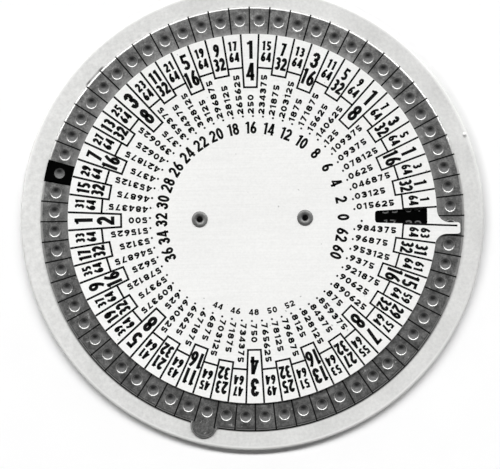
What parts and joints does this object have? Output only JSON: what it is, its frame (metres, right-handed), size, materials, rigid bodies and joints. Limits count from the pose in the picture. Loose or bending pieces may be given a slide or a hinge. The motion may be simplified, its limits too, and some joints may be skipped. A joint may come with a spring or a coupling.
{
  "type": "circular fraction adding machine",
  "caption": "Flat round stylus adder: a numbered wheel with dents and a thumb tab turns between a flanged base and a fixed dial with a window.",
  "frame": {"origin": "on the wheel's axis, level with the foot of the base's rim", "axes": "+Z out of the dial's face, +X through the middle of the window, +Y towards the quarter mark"},
  "size_m": [0.156, 0.156, 0.0042],
  "materials": {
    "bare_aluminium": "satin, fine grain",
    "bearing_aluminium": "mill finish",
    "grey_enamel": "printed grey enamel, worn",
    "white_enamel": "satin white enamel with black print",
    "eyelet_metal": "dull nickel"
  },
  "bodies": {
    "base": {"base_plate": "bare_aluminium", "bearing_disc": "bearing_aluminium", "dial_plate": "white_enamel", "left_eyelet": "eyelet_metal", "right_eyelet": "eyelet_metal"},
    "wheel": {"number_wheel": "grey_enamel"}
  },
  "joints": [
    {"name": "wheel_spin", "type": "hinge", "parent": "base", "child": "wheel", "pos_m": [0, 0, 0.0026], "axis": [0, 0, 1], "continuous": true}
  ]
}
